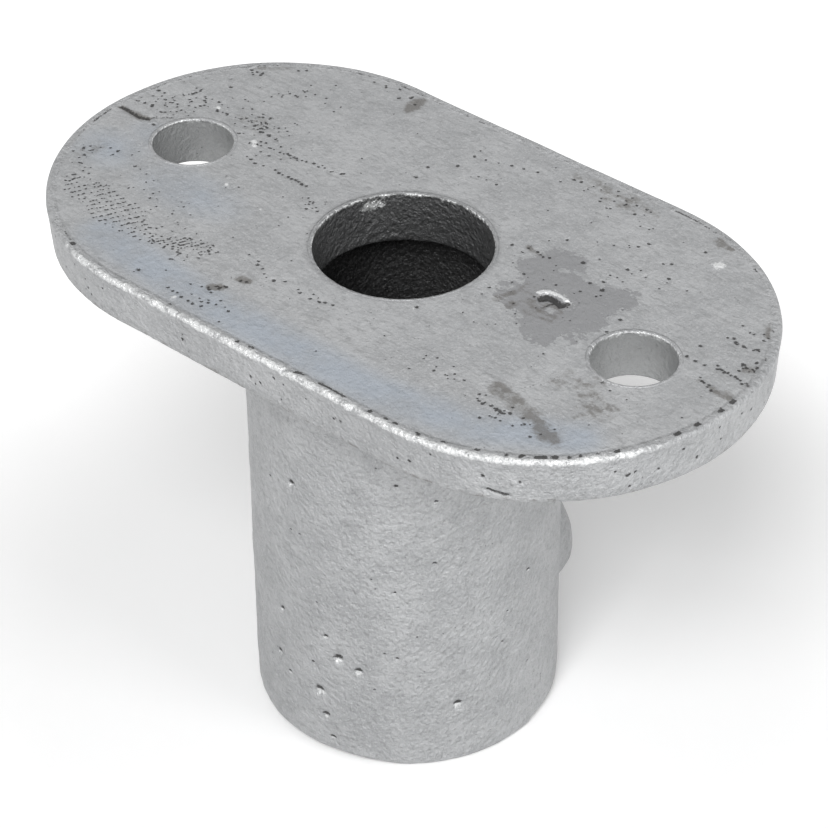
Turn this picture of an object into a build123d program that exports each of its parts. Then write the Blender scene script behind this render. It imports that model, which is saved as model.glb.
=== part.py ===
"""Railing base flange for a 48.3 mm tube: one galvanised malleable-iron casting and its set screws.

Millimetres, +Z up. The fitting stands on the open mouth of its socket with the ground face of the
flange upwards, turned over from the way it is bolted down. The origin is the centre of the mouth,
X runs along the flange, and the set-screw bosses are on the +Y side.
"""

import os

from build123d import *

# Socket, bored for the tube
tube_diameter = 48.3
tube_clearance = 0.6  # all round the tube
socket_wall = 5.25  # at the mouth
socket_taper = 0.2  # off the wall, from the mouth to the flange
socket_depth = 92.0  # from the mouth to the tube stop
mouth_lead_in = 1.0
rim_chamfer = 0.8

# Flange, an obround plate with a hole near each end and a drain hole through the tube stop
flange_length = 151.0
flange_width = 85.5
flange_thickness = 10.0
flange_draft = 3.0  # degrees, narrowing away from the ground face
flange_edge_chamfer = 1.0
root_radius = 4.0
stop_thickness = 11.0  # from the tube stop to the ground face
drain_hole_diameter = 33.6
fixing_hole_diameter = 15.6
fixing_hole_spacing = 107.0

# Set screws, 3/8 pipe thread
screw_diameter = 15.8  # pitch diameter of the thread
screw_length = 13.0
screw_clearance = 0.05  # all round the screw
screw_chamfer = 1.0
key_size = 8.0  # across the flats of the hexagon socket
key_depth = 6.0
cup_diameter = 10.5
cup_depth = 1.6
cup_angle = 55.0  # degrees from the screw's axis
screw_back_off = 1.0  # from the tip of the screw to the socket bore, as supplied

# Bosses that the screws turn in, one near the mouth and one near the flange
lower_screw_height = 17.5  # above the mouth
screw_pitch = 45.0  # from the lower screw to the upper one
boss_wall = 6.35  # round the screw, at the boss's face
boss_height = 5.5  # from the socket wall to the boss's face
boss_draft = 12.0  # degrees
boss_chamfer = 1.5

# Sizes that follow from those above
bore_radius = tube_diameter / 2 + tube_clearance
socket_radius = bore_radius + socket_wall
fitting_height = socket_depth + stop_thickness
flange_underside = fitting_height - flange_thickness
screw_hole_radius = screw_diameter / 2 + screw_clearance
boss_radius = screw_diameter / 2 + boss_wall
boss_face = socket_radius + boss_height
screw_heights = [lower_screw_height, lower_screw_height + screw_pitch]
screw_centres = [(0, height) for height in screw_heights]

os.makedirs("parts", exist_ok=True)

# The casting: flange, socket and bosses poured in one piece, then bored, drilled and tapped.
with BuildPart() as casting:
    # The plate narrows towards its underside, as it was drawn from the mould.
    with BuildSketch(Plane.XY.offset(fitting_height)):
        SlotOverall(flange_length, flange_width)
    extrude(amount=-flange_thickness, taper=flange_draft)
    underside = casting.faces().sort_by(Axis.Z)[0]
    chamfer(underside.edges(), length=flange_edge_chamfer)

    # The socket grows out of the underside with a fillet at its root.
    with BuildSketch(Plane.XZ):
        with BuildLine():
            Polyline(
                (0, 0),
                (socket_radius - rim_chamfer, 0),
                (socket_radius, rim_chamfer),
                (socket_radius - socket_taper, flange_underside),
                (0, flange_underside),
                close=True,
            )
        make_face()
    revolve(axis=Axis.Z)
    underside = casting.faces().filter_by(Axis.Z).sort_by(Axis.Z)[1]
    fillet(underside.inner_wires().edges(), radius=root_radius)

    # Each boss widens from its face down to the socket. The mouth trims the lower one.
    with BuildSketch(Plane.XZ.offset(-boss_face)):
        with Locations(*screw_centres):
            Circle(boss_radius)
    extrude(amount=boss_face, taper=-boss_draft)
    split(bisect_by=Plane.XY, keep=Keep.TOP)
    boss_faces = casting.faces().filter_by(Axis.Y).group_by(Axis.Y)[-1]
    chamfer(boss_faces.edges(), length=boss_chamfer)

    # Socket bore up to the tube stop, with a lead-in for the tube.
    with BuildSketch(Plane.XY):
        Circle(bore_radius)
    extrude(amount=socket_depth, mode=Mode.SUBTRACT)
    mouth = casting.faces().sort_by(Axis.Z)[0]
    chamfer(mouth.inner_wires().edges(), length=mouth_lead_in)

    # Drain hole through the tube stop, and the fixing holes.
    with Locations((0, 0, fitting_height)):
        Hole(radius=drain_hole_diameter / 2, depth=stop_thickness)
        with GridLocations(fixing_hole_spacing, 0, 2, 1):
            Hole(radius=fixing_hole_diameter / 2, depth=flange_thickness)

    # Tapped holes, from the face of each boss into the socket.
    with BuildSketch(Plane.XZ.offset(-boss_face)):
        with Locations(*screw_centres):
            Circle(screw_hole_radius)
    extrude(amount=boss_face, mode=Mode.SUBTRACT)

casting.part.label = "base_casting"
export_step(casting.part, "parts/base_casting.step")


# A set screw points at the tube: a threaded slug, hexagon socket outside and cup point inside.
def build_set_screw(label, height):
    tip = bore_radius + screw_back_off
    head = tip + screw_length
    with BuildPart() as set_screw:
        with BuildSketch(Plane.XZ.offset(-head)):
            with Locations((0, height)):
                Circle(screw_diameter / 2)
        extrude(amount=screw_length)
        chamfer(set_screw.faces().filter_by(Axis.Y).edges(), length=screw_chamfer)

        with BuildSketch(Plane.XZ.offset(-head)):
            with Locations((0, height)):
                RegularPolygon(radius=key_size / 2, side_count=6, major_radius=False)
        extrude(amount=key_depth, mode=Mode.SUBTRACT)

        with BuildSketch(Plane.XZ.offset(-tip)):
            with Locations((0, height)):
                Circle(cup_diameter / 2)
        extrude(amount=-cup_depth, taper=cup_angle, mode=Mode.SUBTRACT)
    set_screw.part.label = label
    export_step(set_screw.part, f"parts/{label}.step")


for label, height in zip(("lower_set_screw", "upper_set_screw"), screw_heights):
    build_set_screw(label, height)
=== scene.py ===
import math

import bmesh
import bpy
import numpy as np
from mathutils import Matrix, Vector, kdtree, noise
from mathutils.geometry import delaunay_2d_cdt


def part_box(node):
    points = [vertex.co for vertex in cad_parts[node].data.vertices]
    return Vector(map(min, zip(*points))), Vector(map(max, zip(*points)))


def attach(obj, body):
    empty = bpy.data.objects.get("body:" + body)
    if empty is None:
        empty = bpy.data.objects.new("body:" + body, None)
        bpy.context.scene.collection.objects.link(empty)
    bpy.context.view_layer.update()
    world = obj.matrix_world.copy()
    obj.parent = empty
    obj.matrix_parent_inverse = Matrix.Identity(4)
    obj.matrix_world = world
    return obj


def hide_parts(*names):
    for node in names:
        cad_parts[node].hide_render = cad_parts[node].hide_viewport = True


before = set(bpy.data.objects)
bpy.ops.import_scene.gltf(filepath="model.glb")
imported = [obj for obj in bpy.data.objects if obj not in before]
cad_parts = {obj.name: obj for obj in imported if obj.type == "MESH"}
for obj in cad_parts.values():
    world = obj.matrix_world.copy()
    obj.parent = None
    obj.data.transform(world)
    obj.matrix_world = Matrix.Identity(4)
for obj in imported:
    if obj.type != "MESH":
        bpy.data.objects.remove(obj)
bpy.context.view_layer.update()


# Camera, on a long lens off the near right corner of the flange and looking down at it.
# The object stands on its open mouth, so the ground face of the flange is on top.
camera_place = Vector((0.3269, -0.3698, 0.4455))
camera_aim = Vector((0.0001, 0.0024, 0.0623))
camera_roll = -0.009

camera = bpy.data.objects.new("camera", bpy.data.cameras.new("camera"))
camera.data.lens = 142.53
camera.data.clip_start = 0.05
camera.location = camera_place
camera.rotation_mode = "QUATERNION"
camera.rotation_quaternion = (camera_aim - camera_place).to_track_quat("-Z", "Y")
camera.rotation_quaternion @= Matrix.Rotation(camera_roll, 4, "Z").to_quaternion()
bpy.context.scene.collection.objects.link(camera)
bpy.context.scene.camera = camera


# Casting: flange plate, tube socket and two screw bosses, poured in one piece of malleable iron.
# It was ground on the face that bears on the floor, bored, drilled and tapped, then dipped in zinc,
# which lies over every edge and has run into a lip along the near side of the plate.
low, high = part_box("base_casting")
plate_length, plate_width, height = [round(side * 1000, 2) for side in high - low]  # mm, as below
plate_thickness = 10.0
plate_draft = math.tan(math.radians(3))
plate_edge = 1.3  # rounding of the lower edge
end_radius = plate_width / 2
straight = plate_length - plate_width
girth = 2 * straight + 2 * math.pi * end_radius
underside = height - plate_thickness

socket_radius = 30.0
socket_taper = 0.2 / underside
root_radius = 4.0
mouth_edge = 1.2
bore_radius = 24.75
bore_depth = 92.0
drain_radius = 16.8
fixing_radius = 7.8
fixing_places = (-53.5, 53.5)

boss_heights = (17.5, 62.5)
boss_radius = 14.25
boss_face = 35.5
boss_edge = 1.8
boss_draft = math.tan(math.radians(12))
thread_pitch = 1.337
tapped_radius = 8.38
tapped_lead = 0.7

face_drop = 0.16  # how far the ground face lies under the zinc lips
lip_round = 0.8
lip_inset = 2.4  # from the outline to the inner end of the lip
lip_depth = 1.4  # from the top to its lower end
rim_reach = 0.9  # from a hole's wall to the outer end of its rim in the ground face
under_reach = 0.4  # and in the underside
lead_in = 1.6  # height of the slope at the mouth
stop_round = 1.0  # where the bore ends under the tube stop

round_count = 216  # mesh points round the socket
lip_count = 800  # mesh points round the plate's upper edge
edge_count = 400  # and round its lower edge
hole_count = 96
boss_count = 108
face_spacing = 0.8  # between mesh points, as the next three
under_spacing = 1.2
socket_spacing = 0.95
bore_spacing = 1.5
site_gap = 0.12  # least distance between the extra mesh points round pits

shake = np.random.default_rng(11)
sheets = []


def outline(along, inset):
    """A point on the plate's outline, by its distance round from the near side's left end."""
    along = np.mod(along, girth)
    second = along >= girth / 2
    along = along - second * girth / 2
    turn = np.maximum(along - straight, 0) / end_radius - math.pi / 2
    x = np.minimum(along, straight) - straight / 2 + (end_radius - inset) * np.cos(turn)
    y = (end_radius - inset) * np.sin(turn)
    way = np.where(second, -1.0, 1.0)
    return np.stack((x * way, y * way), -1)


def circle(radius, count, centre=0.0):
    turn = np.arange(count) / count * math.tau
    return np.stack((centre + radius * np.cos(turn), radius * np.sin(turn)), -1)


def ring(flat, z):
    """A closed row of mesh points from its plan and its height."""
    return np.column_stack((flat, np.broadcast_to(z, len(flat))))


def quads_between(grid):
    """Quads between closed rows that have equal counts of points, by the numbers of the points."""
    index = np.arange(grid.shape[0] * grid.shape[1]).reshape(grid.shape[:2])
    corners = (index[:-1], np.roll(index[:-1], -1, 1), np.roll(index[1:], -1, 1), index[1:])
    return np.stack(corners, -1).reshape(-1, 4).tolist()


def hoops(rows):
    """Closed rows of mesh points, joined by quads."""
    rows = np.array(rows)
    sheets.append((rows.reshape(-1, 3), quads_between(rows)))


def site_points(sites):
    """Extra points in and round each site (x, y, radius), which of them lie apart, and their tree."""
    places = []
    for x, y, radius in sites:
        for reach, count in ((0.0, 1), (0.6, 6), (1.25, 8)):
            for turn in (np.arange(count) + 0.5 * (reach > 1)) * math.tau / count:
                places.append((x + radius * reach * math.cos(turn), y + radius * reach * math.sin(turn)))
    places = np.array(places) + shake.uniform(-0.03, 0.03, (len(places), 2))
    tree = kdtree.KDTree(len(places))
    for i, point in enumerate(places):
        tree.insert((*point, 0), i)
    tree.balance()
    apart = np.ones(len(places), bool)
    for i, point in enumerate(places):
        for _, j, _ in tree.find_range((*point, 0), site_gap):
            if j < i and apart[j]:
                apart[i] = False
    return places, apart, tree


def sheet(loops, room, spacing, lift, sites=()):
    """Near-equal triangles between flat closed loops, closer at the sites, then lifted into place.

    room says how far a flat point lies inside the loops, and a site is (x, y, radius).
    """
    start, end = loops[0].min(0), loops[0].max(0)
    row_spacing = spacing * 0.866
    x, y = np.meshgrid(np.arange(start[0], end[0], spacing), np.arange(start[1], end[1], row_spacing))
    x[1::2] += spacing / 2
    grid = np.column_stack((x.ravel(), y.ravel()))
    grid += shake.uniform(-0.1, 0.1, grid.shape) * spacing
    if len(sites):
        extra, apart, tree = site_points(sites)
        clear = [tree.find((*point, 0))[2] > spacing * 0.6 for point in grid]
        grid = np.concatenate((grid[clear], extra[apart]))
    grid = grid[room(grid) > spacing * 0.5]
    edges, first = [], 0
    for loop in loops:
        index = np.arange(len(loop))
        edges += (np.stack((index, np.roll(index, -1)), -1) + first).tolist()
        first += len(loop)
    points = np.concatenate((*loops, grid))
    points, _, faces, *_ = delaunay_2d_cdt([Vector(p) for p in points], edges, [], 0, 1e-6)
    points, faces = np.array(points), np.array(faces)
    a, b, c = points[faces[:, 0]], points[faces[:, 1]], points[faces[:, 2]]
    area = (b - a)[:, 0] * (c - a)[:, 1] - (b - a)[:, 1] * (c - a)[:, 0]
    faces = faces[(room((a + b + c) / 3) > 0) & (np.abs(area) > 1e-6)]
    sheets.append((lift(points), faces.tolist()))


def frame_loop(width, bottom, top, low_count, high_count, spacing):
    """The closed edge of an unrolled band: a rectangle with its own point counts below and above."""
    rise = np.linspace(bottom, top, max(2, round((top - bottom) / spacing) + 1))
    right = np.column_stack((np.full(len(rise), width / 2), rise))
    below = np.column_stack((
        np.linspace(-width / 2, width / 2, low_count + 1), np.full(low_count + 1, bottom)))
    above = np.column_stack((
        np.linspace(width / 2, -width / 2, high_count + 1), np.full(high_count + 1, top)))
    left = np.column_stack((np.full(len(rise), -width / 2), rise[::-1]))
    return np.concatenate((below[:-1], right[:-1], above[:-1], left[:-1]))


def off_line(flat, line):
    """How far flat points lie off a line drawn through places."""
    line = np.array(line, float)
    off = np.full(len(flat), np.inf)
    for start, end in zip(line, line[1:]):
        run = end - start
        share = np.clip((flat - start) @ run / (run @ run), 0, 1)[:, None]
        off = np.minimum(off, np.hypot(*(flat - start - share * run).T))
    return off


def along_line(line, step):
    """Places at even steps along a line drawn through places."""
    line = np.array(line, float)
    reach = np.append(0, np.cumsum(np.hypot(*np.diff(line, axis=0).T)))
    at = np.arange(0, reach[-1], step)
    return np.column_stack([np.interp(at, reach, side) for side in line.T])


# Gas pits in the ground face, in mm from its middle, where y points to the screws.
pits = []  # x, y, radius
pit_patches = [  # x, y, half length, half width, slant in degrees, count, radius
    (-67.5, -16.5, 5, 4, 0, 30, 0.28), (-65, 9, 9, 5, 40, 60, 0.32), (-48, 12.5, 7, 4, 20, 46, 0.28),
    (-62, -11, 6, 3, 0, 10, 0.3), (-21.5, -1.5, 3, 2.5, 0, 12, 0.3), (-38, 8, 7, 3, 10, 12, 0.3),
    (20, 37, 12, 4, -10, 34, 0.35), (45, -26.5, 7, 2, 0, 12, 0.35), (30, -23.5, 5, 2, -10, 12, 0.3),
    (70, 13, 3, 7, 0, 12, 0.4), (-14, -36, 10, 3, -5, 14, 0.35), (-60, 30, 8, 3, 40, 10, 0.45),
    (-35, 39, 9, 2.5, 0, 10, 0.4), (32, 8, 11, 9, 0, 16, 0.35), (30, 24, 14, 7, 0, 12, 0.35),
    (-44, -20, 18, 7, -10, 40, 0.25), (-52, 24, 12, 6, 30, 22, 0.28), (-30, -28, 6, 5, 0, 24, 0.3),
    (0, 0, 70, 38, 0, 130, 0.22),
]
pit_rows = [  # from x, y to x, y, count
    (-43.5, 7.5, -34, 8.8, 9), (-34, 8.8, -24, 10.3, 12), (-34.5, 2.6, -26.5, 2.6, 9),
    (-42, 3, -37.5, 2.7, 4), (-52.5, 15, -49, 14.5, 4), (-51, 12.5, -42, 11, 8),
    (62.5, 15.5, 69, 15.7, 9), (65.5, 7.2, 74, 6.6, 16), (69, 10.5, 72.5, 11, 5),
    (62.5, 20, 65, 19.8, 3), (65.5, 3, 69, 1.6, 6), (66.5, 20.5, 73, 15, 9),
    (18.5, 14, 23, 14, 5), (-8.5, 31, 3.5, 34.5, 6), (-4, 26, 0, 26.5, 3),
    (-24, -37.5, -15, -38.5, 7), (-18, -33, -15.5, -30.5, 7), (-10.5, -24, -8.5, -22.5, 4),
    (-5, -23, 2.5, -22.5, 7), (-17, -21.5, -13.5, -23, 4), (40.5, -27, 47, -26.2, 9),
    (44, -29.5, 46.5, -28.5, 5), (49.5, -28.3, 51.5, -26.5, 4), (54, -28.5, 55.5, -25, 3),
]
lone_pits = [
    (-72.5, 5), (-70.5, 4), (-68.5, 4), (-71.5, 9), (-65.5, 12.5), (-61.5, 19), (-59.5, 13.5),
    (-55.5, 11.5), (-57.5, 11), (-49.5, 7.5), (-63.5, -0.5), (-31.5, -37), (-15, -27.5), (-14, -27),
    (-13, 18.5), (-13.5, 22.5), (-9.5, 26.5), (15, 13), (18, 12.5), (28.5, 17), (36, 20.5),
    (36.5, 12.5), (20.5, 0), (45, 3), (44.5, 7.5), (60, 6.5), (62, 6.5), (64, 6.5), (60, 10.5),
    (53.5, -9), (14.5, -13), (34, 29.5), (43.5, 34), (43.5, 23),
]
for x, y, half_length, half_width, slant, count, radius in pit_patches:
    way, side = np.array([(math.cos(a), math.sin(a)) for a in np.radians((slant, slant + 90))])
    for _ in range(count):
        spread = np.clip(shake.normal(0, 0.5, 2), -1, 1) * (half_length, half_width)
        place = (x, y) + way * spread[0] + side * spread[1]
        pits.append((*place, radius * shake.uniform(0.6, 1.3)))
for x, y, end_x, end_y, count in pit_rows:
    for share in np.linspace(0, 1, count):
        place = (x + (end_x - x) * share, y + (end_y - y) * share) + shake.normal(0, 0.3, 2)
        pits.append((*place, shake.uniform(0.25, 0.5)))
pits += [(x, y, shake.uniform(0.4, 0.6)) for x, y in lone_pits]

# The grinding wheel has chattered across the left half and opened short rows of small pits.
chatter_start, chatter_end = -63, -24
chatter_step = 1.42  # from row to row
chatter_gap = 0.55  # from pit to pit in a row
chatter_share = 0.72  # of the pits that came out
chatter_x, chatter_y = 0.47, 0.88  # the way a row runs
chatter_middle = ((-63, -58, -48, -38, -29), (-23, -24.5, -26, -29, -24.5))
chatter_length = ((-63, -58, -52, -47, -42, -37, -33, -29, -24), (2, 8, 7, 10, 6, 2, 6, 6, 2))
for x in np.arange(chatter_start, chatter_end, chatter_step):
    middle, length = np.interp(x, *chatter_middle), np.interp(x, *chatter_length)
    for along in np.arange(-length / 2, length / 2, chatter_gap):
        if shake.random() < chatter_share:
            place = (x + chatter_x * along, middle + chatter_y * along) + shake.normal(0, 0.12, 2)
            pits.append((*place, shake.uniform(0.18, 0.34)))

# Deeper flaws: a cold shut at the left end, a sickle-shaped one beside the right fixing hole and
# beads of zinc that stand proud.
cold_shut = [(-75, -0.3), (-72.8, 0.3), (-70, 0), (-67.4, -0.2), (-66, 0.4)]
cold_shut_tail = [(-66, 0.4), (-64.5, 2), (-62, 4)]
sickle = [(29.7, 3.5), (29.9, 4.5), (30.9, 4.8), (32.4, 4.3), (33.7, 4.1), (34.4, 5.2)]
sickle_lip = [(28.3, 4.3), (29, 5.5), (30.1, 5.9), (31.8, 6), (33.8, 5.7), (34.8, 5.3)]
sickle_stem = [(32.5, 3.5), (32, 2.5), (31.7, 1.4)]
beads = [(-58, 11.7, 0.6), (-44.5, 7.3, 0.7), (-43.5, 6.5, 0.5), (-38.3, -6.7, 0.5),
         (-27.7, -8.6, 0.35), (48, 32, 1.2), (-20.5, -39, 0.4), (14.5, -13.8, 0.4)]
face_flaws = [(x, y, 0.45) for line in (cold_shut, cold_shut_tail, sickle_stem)
              for x, y in along_line(line, 0.6)]
face_flaws += [(x, y, 0.4) for line in (sickle, sickle_lip) for x, y in along_line(line, 0.35)]


def plate_room(flat, edge, middle, hole):
    """Room inside the plate's outline less an edge, outside circles round its middle and holes."""
    spine = np.maximum(np.abs(flat[:, 0]) - straight / 2, 0)
    room = end_radius - edge - np.hypot(spine, flat[:, 1])
    room = np.minimum(room, np.hypot(*flat.T) - middle)
    for place in fixing_places:
        room = np.minimum(room, np.hypot(flat[:, 0] - place, flat[:, 1]) - hole)
    return room


def plate_sheet(along, z, edge, middle, hole, spacing, sites=()):
    """A flat sheet across the plate at one height, open at its middle circle and fixing holes."""
    loops = [outline(along, edge), circle(middle, round_count)]
    loops += [circle(hole, hole_count, place) for place in fixing_places]
    sheet(loops, lambda flat: plate_room(flat, edge, middle, hole), spacing,
          lambda flat: ring(flat, z), sites)


# The ground face.
lip_along = np.arange(lip_count) / lip_count * girth
plate_sheet(
    lip_along, height - face_drop, lip_inset, drain_radius + rim_reach, fixing_radius + rim_reach,
    face_spacing, pits + face_flaws + beads,
)

# The plate's upper edge, where the zinc stands in a lip.
rows = [ring(outline(lip_along, plate_draft * lip_depth), height - lip_depth)]
for turn in np.radians((0, 25, 50, 75, 90)):
    inset, drop = lip_round * (1 - math.cos(turn)), lip_round * (1 - math.sin(turn))
    rows.append(ring(outline(lip_along, inset), height - drop))
rows.append(ring(outline(lip_along, lip_round + 0.4), height - 0.03))
rows.append(ring(outline(lip_along, lip_round + 0.9), height - 0.7 * face_drop))
rows.append(ring(outline(lip_along, lip_inset), height - face_drop))
hoops(rows)

# Flaws in the side, by the distance round from the near side's left end and the height.
side_crack = [(85.5, 95.7), (87, 95.2), (89, 94.8)]
side_pits = [(84.5, 98.5, 0.5), (91, 98, 0.4), (36, 97, 0.45), (55, 98, 0.4), (17, 97.5, 0.4),
             (68, 96.5, 0.35), (-8, 97, 0.4), (-3, 99.5, 0.3), (110, 98, 0.4), (124, 96.5, 0.5),
             (139, 98.5, 0.4), (47, 99, 0.3)]
side_pits += zip(
    shake.uniform(-180, 180, 50), shake.uniform(95, 101, 50), shake.uniform(0.2, 0.4, 50))

# The plate's side and its rounded lower edge.
side_low, side_high = underside + plate_edge, height - lip_depth


def side_room(flat):
    room = np.minimum(flat[:, 1] - side_low, side_high - flat[:, 1])
    return np.minimum(room, girth / 2 - np.abs(flat[:, 0]))


def on_plate_side(flat):
    return ring(outline(flat[:, 0], plate_draft * (height - flat[:, 1])), flat[:, 1])


sheet(
    [frame_loop(girth, side_low, side_high, edge_count, lip_count, face_spacing)],
    side_room, face_spacing, on_plate_side,
    side_pits + [(along, z, 0.35) for along, z in along_line(side_crack, 0.5)],
)
edge_along = np.arange(edge_count) / edge_count * girth
edge_inset = plate_draft * (plate_thickness - plate_edge)
hoops([
    ring(outline(edge_along, edge_inset + plate_edge * (1 - math.cos(turn))),
         underside + plate_edge * (1 - math.sin(turn)))
    for turn in np.radians((0, 20, 40, 60, 80, 90))
])

# The underside, out from the socket's root.
plate_sheet(
    edge_along, underside, edge_inset + plate_edge, socket_radius + root_radius,
    fixing_radius + under_reach, under_spacing,
)

# Drilled fixing holes, with zinc round both rims.
rim = [(rim_reach, height - face_drop), (0.55, height - face_drop), (0.25, height - face_drop - 0.03),
       (0.08, height - face_drop - 0.12), (0.0, height - 0.45), (0.0, height - 0.8)]
profile = rim + [(0.0, z) for z in np.linspace(height - 1.3, underside + 1.0, 13)]
profile += [(0.0, underside + 0.5), (0.1, underside + 0.15), (under_reach, underside)]
for place in fixing_places:
    hoops([ring(circle(fixing_radius + out, hole_count, place), z) for out, z in profile])

# Drain hole, tube stop and bore.
stop_width = bore_radius - drain_radius
profile = rim + [(0.0, z) for z in np.linspace(height - 1.4, bore_depth + 1.1, 14)]
profile += [(0.0, bore_depth + 0.6), (0.15, bore_depth + 0.2), (0.5, bore_depth)]
profile += [(out, bore_depth) for out in np.linspace(1.6, stop_width - 1.2, 6)]
profile += [(stop_width - 0.5, bore_depth - 0.15), (stop_width - 0.15, bore_depth - 0.5),
            (stop_width, bore_depth - stop_round)]
hoops([ring(circle(drain_radius + out, round_count), z) for out, z in profile])

# Mouth: rounded outside, flat where it stands, with a lead-in for the tube.
profile = [(socket_radius - mouth_edge * (1 - math.cos(turn)), mouth_edge * (1 - math.sin(turn)))
           for turn in np.radians((0, 22, 45, 67, 90))]
profile += [(socket_radius - inset, 0) for inset in (1.9, 2.7, 3.5)]
profile += [(bore_radius + 1.0, 0), (bore_radius + 0.7, 0.15), (bore_radius + 0.35, 0.55),
            (bore_radius + 0.08, 1.1), (bore_radius, lead_in)]
hoops([ring(circle(radius, round_count), z) for radius, z in profile])

# Root fillet under the plate.
hoops([
    ring(circle(socket_radius + root_radius - root_radius * math.sin(turn), round_count),
         underside - root_radius * (1 - math.cos(turn)))
    for turn in np.radians(np.linspace(0, 90, 8))
])


# The bosses: hole edge, face, rounded edge, drafted wall and root, in rows out from the screw axis.
def socket_surface(across):
    return np.sqrt(socket_radius ** 2 - across ** 2)


boss_turn = np.arange(boss_count) / boss_count * math.tau
boss_cos, boss_sin = np.cos(boss_turn), np.sin(boss_turn)
boss_foot = np.full(boss_count, boss_radius + 1.0)  # closes in on where the wall meets the socket
for _ in range(20):
    boss_foot = boss_radius + (boss_face - socket_surface(boss_foot * boss_cos)) * boss_draft


def rounded(share, start, corner, end):
    """A place on the curve that rounds a corner between two places."""
    weights = ((1 - share) ** 2, 2 * share * (1 - share), share ** 2)
    return [weights[0] * a + weights[1] * b + weights[2] * c for a, b, c in zip(start, corner, end)]


def boss_rows(centre, root):
    """Rows of mesh points for one boss, root being the size of its fillet in each direction.

    A place is first (out from the screw's axis, along it), each one value or one per direction.
    """
    rows = [(tapped_radius, boss_face - tapped_lead), (tapped_radius + 0.25, boss_face - 0.45),
            (tapped_radius + 0.55, boss_face - 0.12), (tapped_radius + 0.9, boss_face)]
    rows += [(out, boss_face) for out in np.linspace(10.0, boss_radius - boss_edge, 4)]
    face_end, corner = (boss_radius - boss_edge, boss_face), (boss_radius, boss_face)
    wall_top = (boss_radius + boss_edge * boss_draft, boss_face - boss_edge)
    for share in (0.2, 0.4, 0.6, 0.8, 1.0):
        rows.append(rounded(share, face_end, corner, wall_top))
    wall_top = rows[-1]
    foot = (boss_foot, socket_surface(boss_foot * boss_cos))
    up = np.minimum(root, (boss_face - foot[1] - boss_edge) * 0.8)
    above = (foot[0] - up * boss_draft, foot[1] + up)
    for share in (0.33, 0.67, 1.0):
        rows.append([a + (b - a) * share for a, b in zip(wall_top, above)])
    out = foot[0] + root
    beyond = (out, socket_surface(out * boss_cos))
    for share in (0.17, 0.33, 0.5, 0.67, 0.83, 1.0):
        rows.append(rounded(share, above, foot, beyond))
    return [np.column_stack((
        np.broadcast_to(out, boss_count) * boss_cos, np.broadcast_to(along, boss_count),
        np.broadcast_to(out, boss_count) * boss_sin + centre)) for out, along in rows]


def unrolled(points, radius):
    """Points on a cylinder by their distance round it and their height."""
    return np.column_stack((np.arctan2(points[:, 1], points[:, 0]) * radius, points[:, 2]))


def rolled(flat, radius):
    """The same points back on the cylinder."""
    turn = flat[:, 0] / radius
    return np.column_stack((radius * np.cos(turn), radius * np.sin(turn), flat[:, 1]))


boss_loops, tapped_loops = [], []
for centre in boss_heights:
    root = 2.6 - 1.9 * np.clip(-boss_sin, 0, 1) ** 2 * (centre < 30)  # less towards the mouth
    rows = boss_rows(centre, root)
    hoops(rows)
    boss_loops.append(unrolled(rows[-1], socket_radius))
    across = tapped_radius * boss_cos
    inner = np.sqrt(bore_radius ** 2 - across ** 2)
    depth = np.linspace(0, 1, 30)[:, None]
    rows = [
        np.column_stack((across, along, tapped_radius * boss_sin + centre))
        for along in (boss_face - tapped_lead) * (1 - depth) + inner * depth
    ]
    hoops(rows)
    tapped_loops.append(unrolled(rows[-1], bore_radius))


def band_room(flat, radius, bottom, top, loops):
    """Room inside an unrolled cylinder between two heights, outside the loops round the screws."""
    room = np.minimum(flat[:, 1] - bottom, top - flat[:, 1])
    room = np.minimum(room, math.pi * radius - np.abs(flat[:, 0]))
    turn = flat[:, 0] / radius
    for centre, loop in zip(boss_heights, loops):
        about = np.arctan2(flat[:, 1] - centre, radius * np.cos(turn))
        edge = np.hypot(np.cos(loop[:, 0] / radius) * radius, loop[:, 1] - centre)
        reach = np.interp(about % math.tau, np.append(boss_turn, math.tau), np.append(edge, edge[0]))
        gap = np.hypot(flat[:, 1] - centre, radius * np.cos(turn)) - reach
        room = np.where(np.sin(turn) > 0, np.minimum(room, gap), room)
    return room


def band_sheet(radius, bottom, top, loops, edge_spacing, spacing, sites=()):
    """A sheet round a cylinder between two heights, open at the loops round the screws."""
    edge = frame_loop(math.tau * radius, bottom, top, round_count, round_count, edge_spacing)
    sheet([edge] + loops, lambda flat: band_room(flat, radius, bottom, top, loops), spacing,
          lambda flat: rolled(flat, radius), sites)


# Blow holes in the socket, by the degrees round it from the right end of the plate and the height.
blow_holes = [(-94, 64, 0.9), (-102, 30.5, 0.8), (-75, 25.5, 1.3), (-67, 23.5, 1.0), (-83.5, 15.5, 1.2),
              (-81, 9.5, 1.0), (-78, 4, 0.8), (-105, 18.5, 0.9), (-30, 15, 1.0), (-80, 30, 0.7),
              (-98.5, 15.5, 0.7), (-86, 22, 0.45), (-52, 70, 0.6), (-53, 44.5, 0.5), (-95, 52.5, 0.4),
              (-57, 29, 0.4), (-61, 19.5, 0.35), (-60, 45, 0.3), (-38, 66, 0.5), (-28, 68, 0.5)]
blow_holes += zip(shake.uniform(-180, 180, 90), shake.uniform(3, 84, 90), shake.uniform(0.2, 0.5, 90))
blow_holes = [(math.radians(turn) * socket_radius, z, radius) for turn, z, radius in blow_holes]

band_sheet(
    socket_radius, mouth_edge, underside - root_radius, boss_loops, 0.9, socket_spacing, blow_holes)
band_sheet(bore_radius, lead_in, bore_depth - stop_round, tapped_loops, 1.4, bore_spacing)

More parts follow.
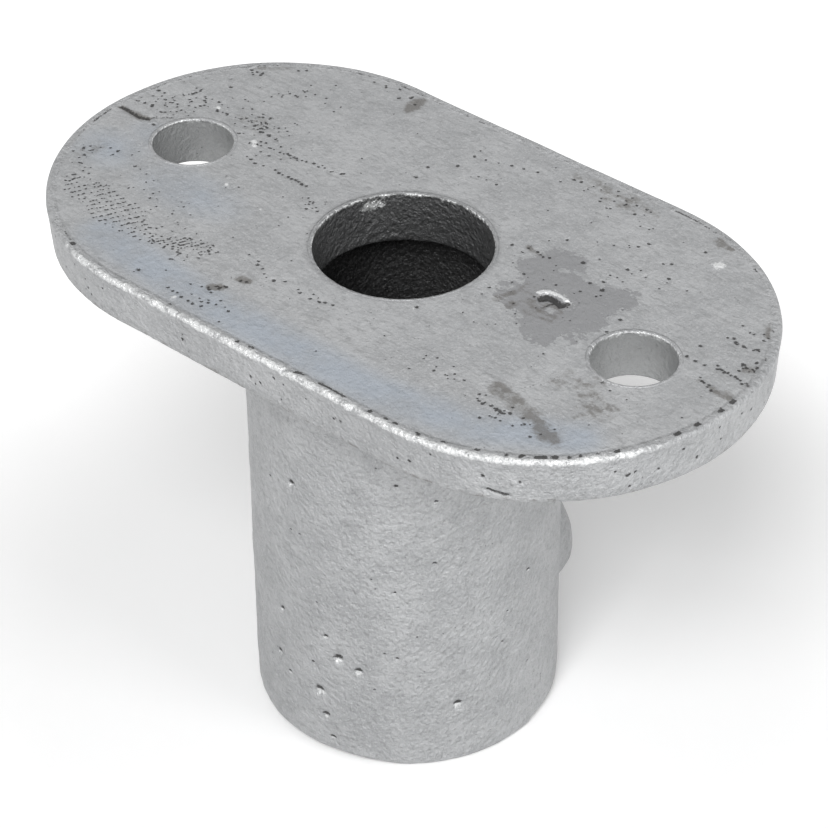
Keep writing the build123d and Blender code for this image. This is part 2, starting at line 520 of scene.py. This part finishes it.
# All sheets joined into one skin.
points, faces, first = [], [], 0
for part_points, part_faces in sheets:
    points.append(part_points)
    faces += [[i + first for i in face] for face in part_faces]
    first += len(part_points)
casting_mesh = bpy.data.meshes.new("casting")
casting_mesh.from_pydata(np.concatenate(points) / 1000, [], faces)
skin = bmesh.new()
skin.from_mesh(casting_mesh)
bmesh.ops.remove_doubles(skin, verts=skin.verts, dist=2e-5)
bmesh.ops.recalc_face_normals(skin, faces=skin.faces)
skin.to_mesh(casting_mesh)
skin.free()


def mesh_vectors(mesh, name):
    """A vector of each mesh point, in rows."""
    values = np.empty(len(mesh.vertices) * 3)
    mesh.vertices.foreach_get(name, values)
    return values.reshape(-1, 3)


# Where each mesh point lies: its distance from the edges and holes, and the surface it belongs to.
spots = mesh_vectors(casting_mesh, "co") * 1000
outward = mesh_vectors(casting_mesh, "normal")
count = len(spots)
x, y, z = spots.T
out = np.hypot(x, y)
turn = np.degrees(np.arctan2(y, x))
face_spots = spots[:, :2]
from_edge = end_radius - np.hypot(np.maximum(np.abs(x) - straight / 2, 0), y)
from_fixing = np.hypot(np.abs(x) - fixing_places[1], y) - fixing_radius

# The same as outline, backwards: the distance round, less than half the girth either way.
swap = (x < -straight / 2) | ((np.abs(x) <= straight / 2) & (y > 0))
near_x, near_y = np.where(swap, -x, x), np.where(swap, -y, y)
bend = np.arctan2(near_y, near_x - straight / 2) + math.pi / 2
round_edge = np.minimum(near_x, straight / 2) + straight / 2
round_edge += np.where(near_x > straight / 2, bend * end_radius, 0) + swap * girth / 2
signed_edge = np.where(round_edge > girth / 2, round_edge - girth, round_edge)
side_spots = np.column_stack((signed_edge, z))
socket_spots = np.column_stack((np.radians(turn) * socket_radius, z))

on_face = (z > height - 0.3) & (from_edge > lip_inset - 0.1) & (out > drain_radius + 0.85)
on_face &= from_fixing > 0.85
on_lip = (z > height - 1.5) & (from_edge < lip_inset + 0.1) & ~on_face
on_side = (z > underside - 0.1) & (from_edge < 1.9) & ~on_lip & ~on_face
in_drain = (out < drain_radius + 0.95) & (z > bore_depth - 0.1)
in_bore = (out < bore_radius + 0.1) & (z > 1.4) & (z < bore_depth + 0.1) & ~in_drain
in_fixing = (from_fixing < 0.95) & (z > underside - 0.1)
# the plate's rounded lower edge, which gets a painted shade
lower_edge_painted_shade = (z > underside - 0.1) & (from_edge < 3.5) & (z < underside + 1.7)
on_socket_skin = (z < underside - 0.05) & (out > bore_radius + 1.2)
tapped = np.zeros(count, bool)
for centre in boss_heights:
    tapped |= (y > 15) & (np.hypot(x, z - centre) < tapped_radius + 0.6)


def ripple(size, stretch=None, shift=0.0):
    """Smooth random waves of about one size over the skin, drawn out along a direction if given."""
    base = spots / size + shift
    if stretch is not None:
        way = np.array(stretch) / np.linalg.norm(stretch)
        base = base - 0.7 * (base @ way)[:, None] * way
    return np.array([noise.noise(place) for place in base.tolist()])


def fade(value, start, end):
    """0 to 1 as the value goes from start to end, with soft ends."""
    share = np.clip((value - start) / (end - start), 0, 1)
    return share * share * (3 - 2 * share)


def in_spots(flat, ellipses):
    """1 at the middle of the nearest ellipse (x, y, half length, half width, slant), 0 outside."""
    inside = np.zeros(len(flat))
    for x, y, half_length, half_width, slant in ellipses:
        cos, sin = math.cos(math.radians(slant)), math.sin(math.radians(slant))
        off = flat - (x, y)
        along, across = off[:, 0] * cos + off[:, 1] * sin, off[:, 1] * cos - off[:, 0] * sin
        inside = np.maximum(inside, 1 - np.hypot(along / half_length, across / half_width))
    return inside


def dents(flat, rows, where):
    """Round pits from rows of (x, y, radius), at the mesh points that are picked by where.

    The depth is 1 at a pit's middle and 0 from 1.5 radii out. With it come the pit's radius and how
    far below its middle a mesh point lies, in radii.
    """
    deep, scale, under = np.zeros(count), np.zeros(count), np.zeros(count)
    index = np.flatnonzero(where)
    tree = kdtree.KDTree(len(index))
    for i in index:
        tree.insert((*flat[i], 0), int(i))
    tree.balance()
    for x, y, radius in rows:
        for _, i, gap in tree.find_range((x, y, 0), radius * 1.5):
            share = 1 - gap / (radius * 1.5)
            if share > deep[i]:
                deep[i], scale[i], under[i] = share, radius, (y - flat[i, 1]) / radius
    return deep, scale, under


# The skin's waves and wrinkles, in mm along its normals.
wide, middling, fine = ripple(14), ripple(5, shift=7), ripple(2.2, shift=19)
small, grain = ripple(1.1, shift=31), ripple(3, shift=43)
lumps = 0.10 * wide + 0.06 * middling + 0.03 * fine
wrinkle_way = (-0.656, 0.755, 1.0)
wrinkles = ripple(1.9, wrinkle_way, 53)

lift = np.zeros(count)
lift[on_face] = (0.06 * wide + 0.03 * middling + 0.012 * fine)[on_face] - 0.02
lift[on_socket_skin] = (lumps + 0.10 * wrinkles)[on_socket_skin]
lift[on_side] = (lumps + 0.07 * small)[on_side] - 0.22
lift[in_bore] = (0.05 * middling + 0.03 * grain)[in_bore]
lift[in_drain] = (0.10 * grain + 0.08 * small)[in_drain] * fade(height - z, 0, 1)[in_drain]
lift[in_fixing] = (0.05 * grain + 0.04 * small)[in_fixing] * fade(height - z, 0, 1)[in_fixing]

# The zinc lip: proud and ragged along the near side, thin and worn on the far side.
proud = fade(signed_edge, -18, -8) * fade(signed_edge, 122, 108)
ragged = proud * (0.05 + 0.14 * fine + 0.12 * small)
lift[on_lip] = (-0.16 + 0.1 * wide + 0.05 * middling + ragged)[on_lip]

# Pits, flaws and beads.
pit, pit_size, _ = dents(face_spots, pits, on_face)
hole, hole_size, hole_under = dents(socket_spots, blow_holes, on_socket_skin)
side_pit, side_pit_size, _ = dents(side_spots, side_pits, on_side)
bead, bead_size, _ = dents(face_spots, beads, on_face)
groove = on_face * fade(off_line(face_spots, cold_shut), 1.0, 0.1)
thin = on_face * fade(off_line(face_spots, cold_shut_tail), 0.6, 0.1)
cut = on_face * fade(off_line(face_spots, sickle), 0.8, 0.25)
stem = on_face * fade(off_line(face_spots, sickle_stem), 0.6, 0.1)
curl = on_face * fade(off_line(face_spots, sickle_lip), 0.75, 0.1)
crack = on_side * fade(off_line(side_spots, side_crack), 0.6, 0.1) * 0.7
lift -= 0.5 * pit * pit_size + 0.75 * hole * hole_size + 0.6 * side_pit * side_pit_size
lift -= 0.5 * groove + 0.15 * thin + 0.9 * cut + 0.15 * stem + 0.5 * crack
lift += 0.6 * bead * bead_size + 0.14 * curl
lift[tapped] = 0

# The zinc has run down to the mouth's edge on one side, which is all that the object stands on.
shaped = spots + outward * lift[:, None]
drip = fade(turn, -62, -48) * fade(turn, 6, 2.5)
mouth_rise = 0.75 * (1 - drip) + 0.08 * fine
mouth_band = 6
shaped[:, 2] += np.clip(1 - z / mouth_band, 0, 1) * mouth_rise * (z < mouth_band)
shaped = np.clip(shaped, np.array(low) * 1000, np.array(high) * 1000)
casting_mesh.vertices.foreach_set("co", (shaped / 1000).ravel())

# Where each finish, painted highlight and painted shade shows, from 0 to 1 or a little more at each mesh
# point.
chips = [  # distance round, half length
    (-14.6, 0.8), (94.5, 1.6), (88.5, 0.5), (91, 0.5), (97, 0.8), (99.5, 0.5), (101.5, 0.5), (108, 0.7),
    (120, 1.0), (124.5, 0.9), (130.5, 0.8), (134, 1.0), (30, 0.5), (44, 0.6), (61, 0.6), (72, 0.5),
]
seam = fade(np.abs(from_edge - 1.7), 0.6, 0.1) * fade(middling + fine + small, 0.15, 0.6) * on_lip
seam *= np.where(proud > 0.1, 0.9, 0.6)
chip_band = fade(np.abs(from_edge - 1.5), 0.7, 0.2) * on_lip
for place, half in chips:
    chip = fade(np.abs(signed_edge - place), half * 1.2, half * 0.4) * chip_band
    seam = np.maximum(seam, chip)
film_spots = [(24, 10.5, 6, 6, 0), (29, 8, 9, 8, 0), (36, 9, 9, 6, 10), (38.5, 3, 6.5, 10, 0),
              (28, 1.5, 8, 6, -30), (35, -3.5, 7, 5, -20), (41, 12.5, 4, 4, 0), (25, 15, 6, 4, 20)]
stain_strokes = [  # line, half width, strength
    ([(40.5, -22), (45, -23), (49.5, -24), (53.5, -26), (57.5, -27.5)], 2.9, 0.8),
    ([(48, -13), (52, -11), (55, -13), (58.5, -15), (57, -18)], 4.5, 0.5),
    (cold_shut, 1.2, 0.9),
    ([(28, 3), (31, -1), (34, 0)], 4.0, 0.35),
    ([(69.3, 1.7), (71.3, 2.1), (74.6, 1.8)], 1.6, 0.9),
    ([(71.5, 16), (70.5, 18.5)], 1.6, 0.8), ([(65.5, 23.5), (67.5, 20.5)], 1.4, 0.7),
    ([(73.7, 5), (73.9, 8)], 1.2, 0.8), ([(-29.5, 35.5), (-29.5, 39)], 2.4, 1.0),
    ([(43.5, 38.5), (46, 38)], 2.2, 0.9), ([(57, 34), (60, 33)], 2.0, 0.8),
    ([(-18, -32.8), (-16, -31)], 1.3, 0.9), ([(-15.6, -27.4), (-13.6, -27)], 1.1, 1.0),
    ([(34.4, 3), (31, 1.5), (28, -0.2), (27, -2.2)], 2.4, 0.5),
    ([(23.7, -2.2), (24.9, 1.3), (25, 4.8)], 1.3, 0.6), ([(18, 14.2), (21, 13.8)], 0.8, 0.7),
    ([(-67, -16), (-66, -12)], 3, 0.25), ([(-52, 13), (-47, 12)], 4, 0.35),
    ([(12, 38), (28, 37)], 5, 0.35), ([(-62, 27), (-56, 34)], 2.0, 0.6),
    ([(-39, 41.5), (-27, 41.3)], 1.2, 0.7), ([(66, 2.5), (68, 1.9)], 1.2, 0.6),
    ([(70, 10), (73, 12)], 2.5, 0.4),
]
stain = np.zeros(count)
for line, width, strength in stain_strokes:
    stain = np.maximum(stain, strength * fade(off_line(face_spots, line), width, width * 0.2))
blue = in_spots(face_spots, [(-64, -12, 10, 8, 0), (-42, -13, 16, 8, 0), (-60, -3, 8, 5, 0)])
near_band = [(-45, -33), (-15, -36.5), (25, -36.5), (45, -33), (60, -24)]
blue = np.maximum(blue, fade(off_line(face_spots, near_band), 7, 1))
# Painted highlights: glints along the lip's crest, stronger on the near side, round the upper rims of
# the fixing holes and the drain, and on the lower lips of the blow holes in the socket.
lip_glint = fade(from_edge, 1.5, 0.9) * fade(z, height - 1.3, height - 0.7)
fixing_glint = fade(from_fixing, 0.3, 0.1) * fade(z, height - 1.0, height - 0.5)
drain_glint = fade(out, drain_radius + 0.3, drain_radius + 0.1) * fade(z, height - 1.1, height - 0.5)
drain_splash = fade(np.hypot((turn - 152) * 0.293, (z - 100.8) * 1.7), 3.4, 0.8)
hole_glint = fade(hole_under, 0.05, 0.4) * fade(hole_size, 0.35, 0.6)
finishes_and_painted_light = {
    # Painted shade in the upper half of each blow hole in the socket, with the dark of the pits, the
    # lip's seam and chips, the flaws and the crack.
    "pits_and_painted_shade": np.maximum.reduce((
        1.05 * pit, 1.1 * hole * fade(hole_under, 0.4, 0.0), side_pit, seam, 0.7 * groove,
        0.55 * thin, 1.3 * cut, 0.6 * stem, crack)),
    # Painted highlights, with the same white on the beads of zinc, the sickle's lip and a splash in the
    # drain.
    "bright_zinc_and_painted_glint": np.maximum.reduce((
        np.minimum(bead * 1.6, 1), 1.2 * curl, on_lip * (0.08 + 0.72 * proud) * lip_glint,
        0.75 * in_fixing * fixing_glint, 0.7 * in_drain * drain_glint, in_drain * drain_splash,
        1.3 * hole * hole_glint)),
    # Stains on the ground face, and a painted shade along the plate's rounded lower edge.
    "stain_and_painted_shade": np.maximum(on_face * stain, 0.3 * lower_edge_painted_shade),
    "film": on_face * in_spots(face_spots, film_spots),
    "blued": on_face * blue,
    "ground": on_face * 1.0,
    # Painted shade, near black, in the bore and the tapped holes; a dark patina on the drain's wall.
    "patina_and_painted_shade": np.where(in_drain, 0.88, in_bore | tapped) * fade(z, height, height - 0.5),
    # Painted shade on the walls of the fixing holes, which also lose most of the hammered relief.
    "drilled": in_fixing * fade(z, height - 0.2, height - 0.9),
}
for name, values in finishes_and_painted_light.items():
    layer = casting_mesh.attributes.new(name, "FLOAT", "POINT")
    layer.data.foreach_set("value", np.clip(values, 0, 1.5).astype(np.float32))

casting_mesh.shade_smooth()
casting = bpy.data.objects.new("galvanised_casting", casting_mesh)
bpy.context.scene.collection.objects.link(casting)
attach(casting, "fitting")
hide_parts("base_casting")


def node(tree, kind, inputs=(), **settings):
    """A shader node with its settings, and its inputs as values or as sockets to join to."""
    made = tree.nodes.new("ShaderNode" + kind)
    for name, value in settings.items():
        setattr(made, name, value)
    for name, value in dict(inputs).items():
        if isinstance(value, bpy.types.NodeSocket):
            tree.links.new(value, made.inputs[name])
        else:
            made.inputs[name].default_value = value
    return made


def maths(tree, operation, first, second):
    return node(tree, "Math", {0: first, 1: second}, operation=operation).outputs[0]


def times(tree, first, second):
    return maths(tree, "MULTIPLY", first, second)


def plus(tree, first, second):
    return maths(tree, "ADD", first, second)


def swing(tree, wave, much):
    """A wave moved to either side of zero, times how much it swings."""
    return times(tree, maths(tree, "SUBTRACT", wave, 0.5), much)


def step(tree, value, start, end, low_value=0.0, high_value=1.0):
    """A soft step in a value from start to end."""
    inputs = {
        "Value": value, "From Min": start, "From Max": end, "To Min": low_value, "To Max": high_value}
    return node(tree, "MapRange", inputs, interpolation_type="SMOOTHSTEP").outputs[0]


def coat(tree, share, under, over):
    """One colour laid over another."""
    return node(tree, "Mix", {0: share, 6: under, 7: over}, data_type="RGBA").outputs[2]


def waves(tree, places, size, detail=3.0, roughness=0.6):
    """Cloudy noise of a size in mm."""
    inputs = {"Vector": places, "Scale": 1 / size, "Detail": detail, "Roughness": roughness}
    return node(tree, "TexNoise", inputs).outputs[0]


def scaled(tree, source, scale):
    return node(tree, "Mapping", {"Vector": source, "Scale": scale}).outputs[0]


# The casting's zinc: grey and pale spangle under the blue film, the dull film, stains, a painted shade
# along the plate's lower edge, painted shade in the bore, tapped holes and fixing holes, dark patina in
# the drain, painted glints with bright zinc on the edges, and pits with a painted shade in the blow
# holes. Each is a finish or painted light from above, torn at its edges by the noise of the zinc.
zinc_grey = (0.385, 0.392, 0.402, 1)
zinc_pale = (0.49, 0.495, 0.50, 1)
zinc_dull = (0.30, 0.305, 0.31, 1)
zinc_blue = (0.32, 0.375, 0.45, 1)
zinc_film = (0.255, 0.257, 0.265, 1)
# white of the painted glints and of the bright beads of zinc
glint_and_bright_zinc = (0.80, 0.81, 0.81, 1)
# brown of the stains and of the painted shade along the plate's lower edge
stain_and_shade_brown = (0.115, 0.106, 0.095, 1)
# near black of the pits and of the painted shade in the blow holes
pit_and_shade_dark = (0.032, 0.031, 0.03, 1)
# near black of the painted shade in the bore and tapped holes and of the drain's patina
patina_and_shade_dark = (0.028, 0.028, 0.028, 1)
# grey of the painted shade on the fixing holes' walls
drilled_grey = (0.25, 0.255, 0.255, 1)

zinc = bpy.data.materials.new("hot_dip_zinc")
zinc.use_nodes = True
tree = zinc.node_tree
surface = tree.nodes["Principled BSDF"]
places = node(tree, "TexCoord").outputs["Object"]
places = scaled(tree, places, (1000, 1000, 1000))
shows = {name: node(tree, "Attribute", attribute_name=name).outputs["Fac"] for name in finishes_and_painted_light}

clouds = waves(tree, places, 9, 4)
mottle = waves(tree, places, 2.2, 3, 0.65)
speckle = waves(tree, places, 0.5, 3, 0.7)
streaks = waves(tree, scaled(tree, places, (0.35, 1, 1)), 0.9, 4, 0.7)
colour = coat(tree, step(tree, clouds, 0.35, 0.65), zinc_dull, zinc_pale)
colour = coat(tree, 0.62, colour, zinc_grey)
colour = coat(tree, step(tree, speckle, 0.48, 0.66, 0, 0.7), colour, zinc_pale)
colour = coat(tree, step(tree, streaks, 0.5, 0.34, 0, 0.8), colour, zinc_dull)
colour = coat(tree, step(tree, mottle, 0.5, 0.3, 0, 0.15), colour, zinc_dull)
blued = times(tree, shows["blued"], step(tree, clouds, 0.3, 0.6, 0.5, 1.0))
colour = coat(tree, times(tree, blued, 0.55), colour, zinc_blue)

torn = plus(tree, shows["film"], swing(tree, mottle, 1.5))
torn = plus(tree, torn, swing(tree, streaks, 0.9))
film = times(tree, step(tree, torn, 0.22, 0.28), step(tree, shows["film"], 0.0, 0.06))
colour = coat(tree, times(tree, film, 0.85), colour, zinc_film)

# Stains, and the painted shade along the plate's lower edge, torn by the noise.
torn = plus(tree, swing(tree, mottle, 2.6), swing(tree, streaks, 1.6))
stain_and_painted_shade = step(tree, plus(tree, shows["stain_and_painted_shade"], torn), 0.15, 1.0)
stain_and_painted_shade = times(tree, stain_and_painted_shade, step(tree, shows["stain_and_painted_shade"], 0.02, 0.3))
colour = coat(tree, times(tree, stain_and_painted_shade, 0.75), colour, stain_and_shade_brown)

# Painted shade on the walls of the fixing holes.
colour = coat(tree, times(tree, shows["drilled"], 0.8), colour, drilled_grey)
# Painted shade in the bore and tapped holes, and the drain's dark patina, a little speckled.
inside = times(tree, shows["patina_and_painted_shade"], step(tree, speckle, 0.4, 0.7, 1.0, 0.86))
colour = coat(tree, inside, colour, patina_and_shade_dark)

# Painted highlights in white on the lip, the rims and the blow holes' lower lips, and the bright zinc of
# the beads, the sickle's lip and the drain's splash.
torn = plus(tree, shows["bright_zinc_and_painted_glint"], swing(tree, mottle, 2.0))
torn = plus(tree, torn, swing(tree, speckle, 1.8))
glint = times(tree, step(tree, torn, 0.3, 1.0), step(tree, shows["bright_zinc_and_painted_glint"], 0.02, 0.2))
colour = coat(tree, times(tree, glint, 0.8), colour, glint_and_bright_zinc)

pricks = node(tree, "TexVoronoi", {"Vector": places, "Scale": 1 / 1.1})
prick_size = times(tree, step(tree, waves(tree, places, 6, 3), 0.45, 0.7), 0.18)
prick = step(tree, maths(tree, "SUBTRACT", prick_size, pricks.outputs["Distance"]), 0.0, 0.05)
# Pits and flaws, and the painted shade in the upper half of the blow holes, darkened nearly black.
torn = plus(tree, shows["pits_and_painted_shade"], swing(tree, speckle, 1.4))
sunk_and_shaded = times(tree, step(tree, torn, 0.35, 0.7), step(tree, shows["pits_and_painted_shade"], 0.05, 0.3))
sunk_and_shaded = maths(tree, "MAXIMUM", sunk_and_shaded, times(tree, prick, 0.5))
colour = coat(tree, times(tree, sunk_and_shaded, 0.9), colour, pit_and_shade_dark)
tree.links.new(colour, surface.inputs["Base Color"])

roughness = step(tree, mottle, 0.3, 0.7, 0.52, 0.38)
roughness = plus(tree, roughness, times(tree, sunk_and_shaded, 0.3))
roughness = maths(tree, "SUBTRACT", roughness, times(tree, glint, 0.15))
tree.links.new(roughness, surface.inputs["Roughness"])
surface.inputs["Metallic"].default_value = 0.3

wrinkled = node(tree, "VectorRotate", {"Vector": places, "Axis": (0.755, 0.656, 0), "Angle": 0.785})
hammered = waves(tree, scaled(tree, wrinkled.outputs[0], (1, 1, 0.55)), 0.9, 3, 0.6)
dressed = plus(tree, shows["ground"], shows["drilled"])
relief = times(tree, step(tree, dressed, 0, 1, 1.0, 0.4), hammered)
for wave, much in ((speckle, 0.2), (mottle, 0.5), (film, -0.06), (sunk_and_shaded, -0.25)):
    relief = plus(tree, relief, times(tree, wave, much))
bumps = node(tree, "Bump", {"Height": relief, "Distance": 0.0008, "Strength": 1.0}).outputs[0]
tree.links.new(bumps, surface.inputs["Normal"])
casting_mesh.materials.append(zinc)


# Set screws: hardened steel slugs with a 3/8 pipe thread, a hexagon socket for an 8 mm key and a
# cup point that bites the tube. They are zinc-plated, and turn in the tapped bosses.
screw_length = 13.0
thread_crest = 8.331
thread_root = 7.475
end_chamfer = 1.0
key_across = 8.0
key_depth = 6.0
cup_radius = 5.25
cup_depth = 1.6
screw_columns = 120
thread_rows = 118
hexagon_round = 0.35  # at the mouth of the key's socket
pole_radius = 0.02  # of the small flat faces that close both ends


def thread_surface(turn, along):
    """Distance of the thread's surface from the screw's axis, at a place along it."""
    phase = np.mod(along / thread_pitch - turn / math.tau, 1)
    flank = np.clip(0.5 + 1.3 * (0.5 - np.abs(phase - 0.5) * 2), 0, 1)
    radius = thread_root + (thread_crest - thread_root) * flank * flank * (3 - 2 * flank)
    from_end = np.minimum(along, screw_length - along)
    return np.minimum(radius, thread_crest - end_chamfer + from_end)


steel = bpy.data.materials.new("plated_steel")
steel.use_nodes = True
tree = steel.node_tree
surface = tree.nodes["Principled BSDF"]
places = scaled(tree, node(tree, "TexCoord").outputs["Object"], (1000, 1000, 1000))
haze = waves(tree, places, 2.5, 4)
dulled = waves(tree, places, 0.5, 3)
colour = coat(tree, step(tree, haze, 0.35, 0.7), (0.44, 0.45, 0.46, 1), (0.60, 0.61, 0.62, 1))
colour = coat(tree, step(tree, dulled, 0.55, 0.75, 0, 0.6), colour, (0.26, 0.26, 0.25, 1))
tree.links.new(colour, surface.inputs["Base Color"])
tree.links.new(step(tree, dulled, 0.3, 0.75, 0.28, 0.55), surface.inputs["Roughness"])
surface.inputs["Metallic"].default_value = 0.9
bumps = node(tree, "Bump", {"Height": dulled, "Distance": 0.00003, "Strength": 0.6}).outputs[0]
tree.links.new(bumps, surface.inputs["Normal"])

screw_turn = np.arange(screw_columns) / screw_columns * math.tau
hexagon = key_across / 2 / np.cos(np.mod(screw_turn, math.pi / 3) - math.pi / 6)
for name in ("lower", "upper"):
    screw_low, screw_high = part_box(f"{name}_set_screw")
    head, tip = screw_high.y * 1000, screw_low.y * 1000
    centre = (screw_low.z + screw_high.z) * 500
    rows = [(pole_radius, tip + cup_depth), (1.2, tip + cup_depth),
            (cup_radius - 2.0, tip + cup_depth - 0.2), (cup_radius - 0.15, tip + 0.1),
            (cup_radius, tip), (cup_radius + 0.2, tip)]
    rows += [(thread_surface(screw_turn, along), head - along)
             for along in np.linspace(screw_length, 0, thread_rows)]
    rows += [(thread_crest - end_chamfer - 0.3, head), (key_across / 2 + 0.9, head)]
    rows += [(np.maximum(hexagon, key_across / 2 + hexagon_round), head - 0.3), (hexagon, head - 0.9)]
    rows += [(hexagon, head - depth) for depth in np.linspace(1.5, key_depth, 6)]
    rows += [(hexagon * 0.9, head - key_depth), (pole_radius, head - key_depth - 1.1)]
    grid = np.array([
        np.column_stack((radius * np.sin(screw_turn), np.full(screw_columns, along),
                         radius * np.cos(screw_turn) + centre))
        for radius, along in rows])
    grid_count = len(rows) * screw_columns
    ends = [list(range(screw_columns))[::-1], list(range(grid_count - screw_columns, grid_count))]
    screw_mesh = bpy.data.meshes.new(f"{name}_screw")
    screw_mesh.from_pydata(grid.reshape(-1, 3) / 1000, [], quads_between(grid) + ends)
    body = bmesh.new()
    body.from_mesh(screw_mesh)
    bmesh.ops.recalc_face_normals(body, faces=body.faces)
    body.to_mesh(screw_mesh)
    body.free()
    screw_mesh.shade_smooth()
    screw_mesh.set_sharp_from_angle(angle=math.radians(40))
    screw_mesh.materials.append(steel)
    screw = bpy.data.objects.new(f"{name}_grub_screw", screw_mesh)
    bpy.context.scene.collection.objects.link(screw)
    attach(screw, f"{name}_screw")
    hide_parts(f"{name}_set_screw")


# Floor and light: a white floor in a white room, soft light from all round, a large lamp high beside
# the camera and a weaker one on the right.
room_light = 0.34
key_power = 8.0
key_size = 0.4
key_place = Vector((0.33, -0.64, 0.80))
fill_power = 2.6
fill_place = Vector((0.90, 0.12, 0.50))
floor_half = 4.0
floor_white = (0.9, 0.9, 0.9, 1)
glow_near, glow_far = 0.12, 0.5  # how far the floor shines by itself, near the object and away from it; the weaker glow near it is a painted shade round the object


def seen_rays(tree):
    """1 for the rays that show a surface to the camera, directly or through another surface."""
    rays = node(tree, "LightPath").outputs
    seen = maths(tree, "MAXIMUM", rays["Is Camera Ray"], rays["Is Glossy Ray"])
    return maths(tree, "MAXIMUM", seen, rays["Is Transmission Ray"])


floor_mesh = bpy.data.meshes.new("floor")
floor_corners = [(-floor_half, -floor_half, 0), (floor_half, -floor_half, 0),
                 (floor_half, floor_half, 0), (-floor_half, floor_half, 0)]
floor_mesh.from_pydata(floor_corners, [], [(0, 1, 2, 3)])
floor = bpy.data.objects.new("floor", floor_mesh)
bpy.context.scene.collection.objects.link(floor)

paper = bpy.data.materials.new("white_paper")
paper.use_nodes = True
tree = paper.node_tree
seen = seen_rays(tree)
surface = tree.nodes["Principled BSDF"]
surface.inputs["Base Color"].default_value = floor_white
surface.inputs["Roughness"].default_value = 0.9
surface.inputs["Emission Color"].default_value = (1, 1, 1, 1)
# Painted shade: the floor's own glow is weaker within about 0.1 m of the object, so the floor round it
# is darker than the floor away from it.
away = node(tree, "VectorMath", {0: node(tree, "TexCoord").outputs["Object"]}, operation="LENGTH")
glow = step(tree, away.outputs["Value"], 0.07, 0.17, glow_near, glow_far)
tree.links.new(times(tree, seen, glow), surface.inputs["Emission Strength"])
floor_mesh.materials.append(paper)

world = bpy.data.worlds.new("studio")
world.use_nodes = True
tree = world.node_tree
seen = seen_rays(tree)
strength = node(tree, "MapRange", {"Value": seen, "To Min": room_light, "To Max": 1.0}).outputs[0]
tree.nodes["Background"].inputs["Color"].default_value = (1, 1, 1, 1)
tree.links.new(strength, tree.nodes["Background"].inputs["Strength"])
bpy.context.scene.world = world

middle = Vector((0, 0, height / 2000))
for name, power, size, place in (
        ("key", key_power, key_size, key_place), ("fill", fill_power, key_size, fill_place)):
    lamp = bpy.data.objects.new(name, bpy.data.lights.new(name, "AREA"))
    lamp.data.energy = power
    lamp.data.size = size
    lamp.location = place
    lamp.rotation_mode = "QUATERNION"
    lamp.rotation_quaternion = (middle - place).to_track_quat("-Z", "Y")
    bpy.context.scene.collection.objects.link(lamp)

bpy.context.scene.view_settings.view_transform = "Standard"
